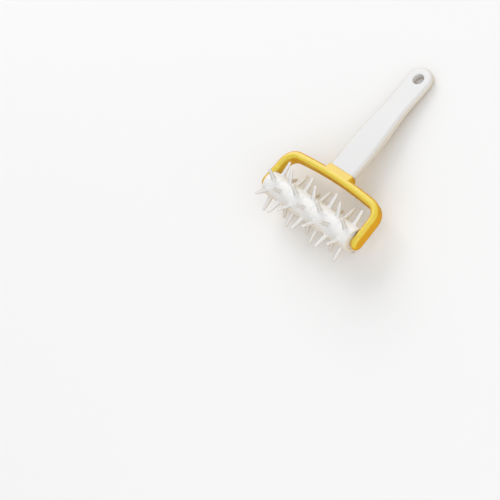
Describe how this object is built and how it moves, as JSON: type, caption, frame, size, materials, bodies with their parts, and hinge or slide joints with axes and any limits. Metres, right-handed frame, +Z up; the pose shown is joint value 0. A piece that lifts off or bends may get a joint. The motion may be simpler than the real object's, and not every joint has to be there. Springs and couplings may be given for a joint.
{
  "type": "dough docker",
  "caption": "Hand-held dough docker: a roller of spiked rings turns in a U-shaped yoke with a flat handle that hangs from a hole in its end.",
  "frame": {"origin": "on the surface the tool lies on, under the middle of its overall length and width", "axes": "+X along the roller's axis, +Y from the roller towards the handle's hanging hole, +Z up from the surface"},
  "size_m": [0.1184, 0.181, 0.0487],
  "materials": {
    "yellow_plastic": "glossy moulded, opaque",
    "white_handle_plastic": "glossy moulded, opaque",
    "white_roller_plastic": "satin moulded, slightly translucent"
  },
  "bodies": {
    "frame": {"yoke": "yellow_plastic", "handle": "white_handle_plastic"},
    "roller": {"spindle": "white_roller_plastic", "spiked_ring_1": "white_roller_plastic", "spiked_ring_2": "white_roller_plastic", "spiked_ring_3": "white_roller_plastic", "spiked_ring_4": "white_roller_plastic", "spiked_ring_5": "white_roller_plastic", "spiked_ring_6": "white_roller_plastic", "spiked_ring_7": "white_roller_plastic", "left_end_cap": "white_roller_plastic", "right_end_cap": "white_roller_plastic"}
  },
  "joints": [
    {"name": "roller_spin", "type": "hinge", "parent": "frame", "child": "roller", "pos_m": [0, -0.06614, 0.02437], "axis": [1, 0, 0], "continuous": true}
  ]
}
